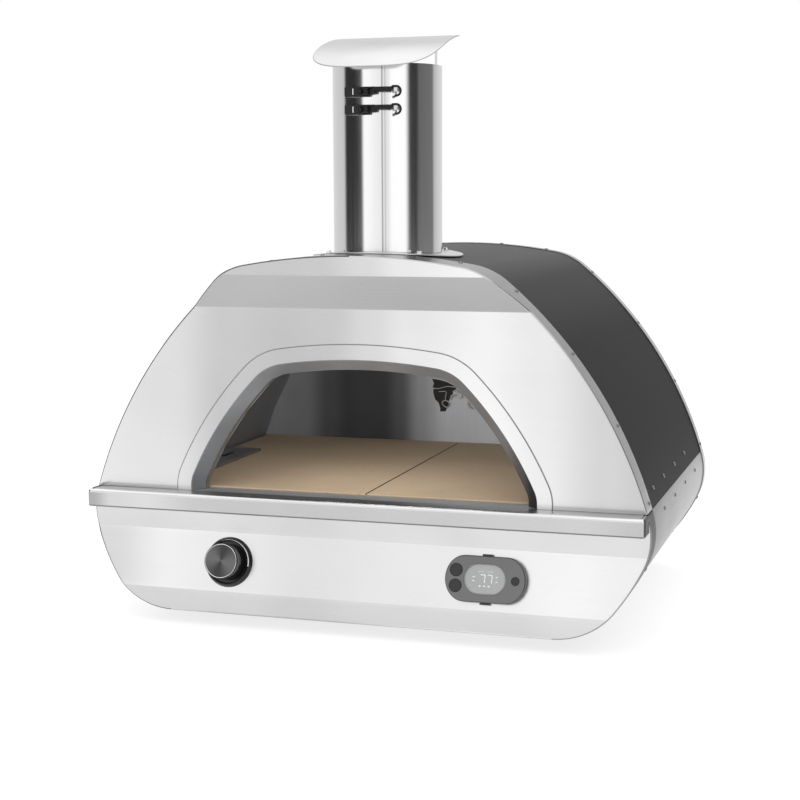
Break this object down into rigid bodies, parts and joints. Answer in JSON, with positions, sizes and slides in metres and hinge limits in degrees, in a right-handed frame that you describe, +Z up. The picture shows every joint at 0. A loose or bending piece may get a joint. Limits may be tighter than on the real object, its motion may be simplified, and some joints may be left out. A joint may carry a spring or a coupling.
{
  "type": "portable pizza oven",
  "caption": "Portable gas pizza oven: rounded steel body on feet, arched open mouth, stone floor, control knob, digital thermometer, and a latched chimney with a curved cap.",
  "frame": {"origin": "on the floor, at the middle of the whole object's plan, with the underside of the feet at zero height", "axes": "+X to the right seen from the front, +Y from the mouth to the rear, +Z up; the body is symmetric left to right apart from the controls"},
  "size_m": [0.7828, 0.6294, 0.8075],
  "materials": {
    "brushed_steel": "satin brushed stainless steel",
    "dark_paint": "fine textured dark grey powder coat",
    "chamber_steel": "heat-resistant steel",
    "baking_stone": "fired baking stone",
    "ceramic_wool": "ceramic fibre insulation",
    "brass": "machined brass",
    "ceramic": "glazed ceramic",
    "black_gloss": "gloss black",
    "dark_metal": "dark brushed metal",
    "black_latch": "black coated steel",
    "grey_plastic": "dark grey moulded plastic",
    "button_rubber": "matt rubber",
    "clear_window": "clear",
    "display": "grey liquid-crystal display",
    "circuit_board": "green board",
    "foot_rubber": "matt black rubber"
  },
  "bodies": {
    "oven": {"front_panel_upper": "brushed_steel", "front_panel_lower": "brushed_steel", "front_ledge": "brushed_steel", "mouth_trim": "brushed_steel", "mouth_liner": "chamber_steel", "outer_skin": "dark_paint", "base_shell": "brushed_steel", "rear_panel": "brushed_steel", "oven_chamber": "chamber_steel", "insulation_blanket": "ceramic_wool", "floor_insulation": "ceramic_wool", "heat_shield": "brushed_steel", "floor_stone_left": "baking_stone", "floor_stone_right": "baking_stone", "stone_tray": "chamber_steel", "burner_tube": "chamber_steel", "gas_orifice": "brass", "igniter_electrode": "ceramic", "flame_thermocouple": "brass", "burner_guard": "chamber_steel", "temperature_probe": "dark_metal", "knob_bezel": "black_gloss", "gas_valve_body": "brass", "gas_supply_pipe": "brass", "gas_feed_pipe": "brass", "gas_inlet_fitting": "brass", "thermometer_cradle": "grey_plastic", "thermometer_housing": "grey_plastic", "thermometer_window": "clear_window", "thermometer_display": "display", "thermometer_back": "grey_plastic", "thermometer_board": "circuit_board", "thermometer_cell": "brushed_steel", "flue_pipe": "brushed_steel", "chimney_base_plate": "brushed_steel", "chimney_sleeve": "brushed_steel", "latch_base_upper": "black_latch", "latch_base_lower": "black_latch", "latch_catch_upper": "black_latch", "latch_catch_lower": "black_latch", "foot_front_left": "foot_rubber", "foot_front_right": "foot_rubber", "foot_rear_left": "foot_rubber", "foot_rear_right": "foot_rubber"},
    "gas_plug": {"valve_plug": "brass"},
    "gas_knob": {"knob": "black_gloss", "knob_face": "dark_metal", "valve_stem": "brass"},
    "thermometer_button_up": {"button_up": "button_rubber"},
    "thermometer_button_down": {"button_down": "button_rubber"},
    "thermometer_button_power": {"button_power": "button_rubber"},
    "chimney_hood": {"chimney_cap": "brushed_steel", "cap_collar": "brushed_steel", "cap_bracket_front": "dark_metal", "cap_bracket_left": "dark_metal", "cap_bracket_right": "dark_metal"},
    "lever_upper": {"latch_lever_upper": "black_latch"},
    "bail_upper": {"latch_bail_upper": "black_latch"},
    "lever_lower": {"latch_lever_lower": "black_latch"},
    "bail_lower": {"latch_bail_lower": "black_latch"}
  },
  "joints": [
    {"name": "knob_turn", "type": "hinge", "parent": "oven", "child": "gas_plug", "pos_m": [-0.1843, -0.27962, 0.089], "axis": [0, -0.9641, 0.2656], "range_deg": [0, 180]},
    {"name": "knob_push", "type": "slide", "parent": "gas_plug", "child": "gas_knob", "axis": [0, 0.9641, -0.2656], "range_m": [0, 0.004], "stiffness_N_per_m": 1500, "springref_m": -0.001},
    {"name": "press_up", "type": "slide", "parent": "oven", "child": "thermometer_button_up", "axis": [0, 0.9641, -0.2656], "range_m": [0, 0.0007], "stiffness_N_per_m": 1500, "springref_m": -0.0003},
    {"name": "press_down", "type": "slide", "parent": "oven", "child": "thermometer_button_down", "axis": [0, 0.9641, -0.2656], "range_m": [0, 0.0007], "stiffness_N_per_m": 1500, "springref_m": -0.0003},
    {"name": "press_power", "type": "slide", "parent": "oven", "child": "thermometer_button_power", "axis": [0, 0.9641, -0.2656], "range_m": [0, 0.0007], "stiffness_N_per_m": 1500, "springref_m": -0.0003},
    {"name": "hood_lift", "type": "slide", "parent": "oven", "child": "chimney_hood", "axis": [0, 0, 1], "range_m": [0, 0.06]},
    {"name": "lever_open_upper", "type": "hinge", "parent": "oven", "child": "lever_upper", "pos_m": [-0.00198, -0.2207, 0.7228], "axis": [0, 0, 1], "range_deg": [0, 140]},
    {"name": "bail_follow_upper", "type": "hinge", "parent": "lever_upper", "child": "bail_upper", "pos_m": [-0.01054, -0.22009, 0.7228], "axis": [0, 0, 1], "range_deg": [-150, 0]},
    {"name": "lever_open_lower", "type": "hinge", "parent": "oven", "child": "lever_lower", "pos_m": [-0.00198, -0.2207, 0.6993], "axis": [0, 0, 1], "range_deg": [0, 140]},
    {"name": "bail_follow_lower", "type": "hinge", "parent": "lever_lower", "child": "bail_lower", "pos_m": [-0.01054, -0.22009, 0.6993], "axis": [0, 0, 1], "range_deg": [-150, 0]}
  ],
  "couplings": [
    {"joint": "bail_follow_upper", "follows": "lever_open_upper", "ratio": -1},
    {"joint": "bail_follow_lower", "follows": "lever_open_lower", "ratio": -1}
  ]
}
